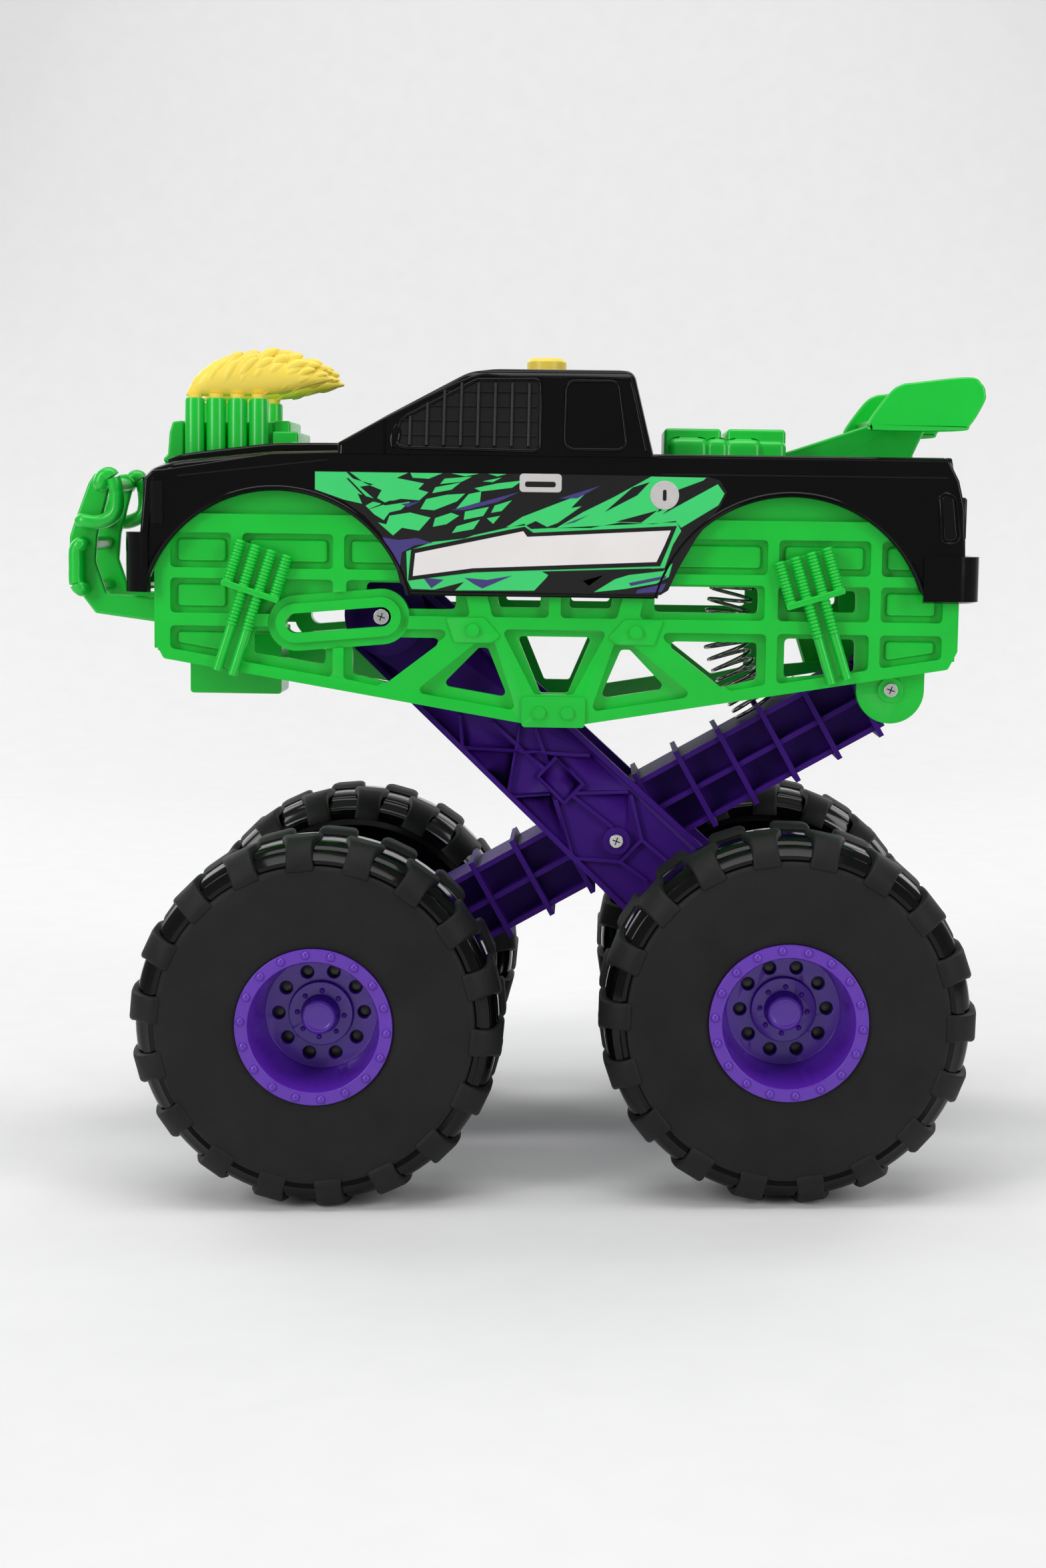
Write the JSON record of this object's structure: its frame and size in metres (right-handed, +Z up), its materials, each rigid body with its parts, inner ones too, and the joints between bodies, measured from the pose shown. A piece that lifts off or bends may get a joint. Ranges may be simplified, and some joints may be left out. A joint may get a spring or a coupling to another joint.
{
  "type": "toy monster truck",
  "caption": "Toy pickup monster truck: a truss chassis on two sprung scissor arms that lift and lower the body, with large lugged wheels that spin freely.",
  "frame": {"origin": "on the ground, below the middle of the bounding box", "axes": "+X forward to the bull bar, +Y to the truck's left, +Z up"},
  "size_m": [0.4084, 0.245, 0.3679],
  "materials": {
    "green_plastic": "gloss",
    "black_gloss": "gloss",
    "tyre_matte": "matte",
    "purple_rim": "gloss",
    "purple_arm": "gloss",
    "yellow_plastic": "gloss",
    "tinted_window": "gloss",
    "steel": "polished",
    "spring_steel": "polished"
  },
  "bodies": {
    "chassis": {"side_frame_left": "green_plastic", "side_frame_right": "green_plastic", "chassis_deck": "green_plastic", "skid_box": "green_plastic", "rear_bracket": "green_plastic", "bull_bar_plates": "green_plastic", "bull_bar_tubes": "green_plastic", "body_side_left": "black_gloss", "body_side_right": "black_gloss", "hood": "black_gloss", "cab": "black_gloss", "windshield": "tinted_window", "rear_window": "tinted_window", "side_window_left": "tinted_window", "side_window_right": "tinted_window", "bed": "black_gloss", "tailgate": "black_gloss", "grille": "black_gloss", "front_bumper": "black_gloss", "rear_bumper": "black_gloss", "roof_button": "yellow_plastic", "hood_engine": "green_plastic", "exhaust_stacks": "green_plastic", "flame_left": "yellow_plastic", "flame_right": "yellow_plastic", "bed_engine": "green_plastic", "wing_pylon": "green_plastic", "wing": "green_plastic", "shocks_front_left": "green_plastic", "shocks_front_right": "green_plastic", "shocks_rear_left": "green_plastic", "shocks_rear_right": "green_plastic", "lift_spring": "spring_steel", "rear_pivot_rod": "steel"},
    "box_arm": {"box_arm": "purple_arm", "front_axle": "steel", "crossing_rod": "steel"},
    "plate_arms": {"plate_arm_left": "purple_arm", "plate_arm_right": "purple_arm", "arm_bridges": "purple_arm", "rear_axle": "steel", "slot_screws": "steel"},
    "wheel_front_left": {"tyre_front_left": "tyre_matte", "core_front_left": "black_gloss", "rim_front_left": "purple_rim"},
    "wheel_front_right": {"tyre_front_right": "tyre_matte", "core_front_right": "black_gloss", "rim_front_right": "purple_rim"},
    "wheel_rear_left": {"tyre_rear_left": "tyre_matte", "core_rear_left": "black_gloss", "rim_rear_left": "purple_rim"},
    "wheel_rear_right": {"tyre_rear_right": "tyre_matte", "core_rear_right": "black_gloss", "rim_rear_right": "purple_rim"}
  },
  "joints": [
    {"name": "lift", "type": "hinge", "parent": "chassis", "child": "box_arm", "pos_m": [-0.16505, 0, 0.2143], "axis": [0, -1, 0], "range_deg": [0, 13.9], "stiffness_Nm_per_rad": 1.6, "springref_deg": -51.57, "deforming": ["lift_spring"]},
    {"name": "scissor", "type": "hinge", "parent": "box_arm", "child": "plate_arms", "pos_m": [-0.04331, 0, 0.14616], "axis": [0, 1, 0], "range_deg": [0, 30.5]},
    {"name": "spin_front_left", "type": "hinge", "parent": "box_arm", "child": "wheel_front_left", "pos_m": [0.08595, 0.09, 0.08], "axis": [0, 1, 0], "continuous": true},
    {"name": "spin_front_right", "type": "hinge", "parent": "box_arm", "child": "wheel_front_right", "pos_m": [0.08595, -0.09, 0.08], "axis": [0, 1, 0], "continuous": true},
    {"name": "spin_rear_left", "type": "hinge", "parent": "plate_arms", "child": "wheel_rear_left", "pos_m": [-0.11405, 0.09, 0.08], "axis": [0, 1, 0], "continuous": true},
    {"name": "spin_rear_right", "type": "hinge", "parent": "plate_arms", "child": "wheel_rear_right", "pos_m": [-0.11405, -0.09, 0.08], "axis": [0, 1, 0], "continuous": true}
  ],
  "couplings": [
    {"joint": "scissor", "follows": "lift", "ratio": 2.1912}
  ]
}
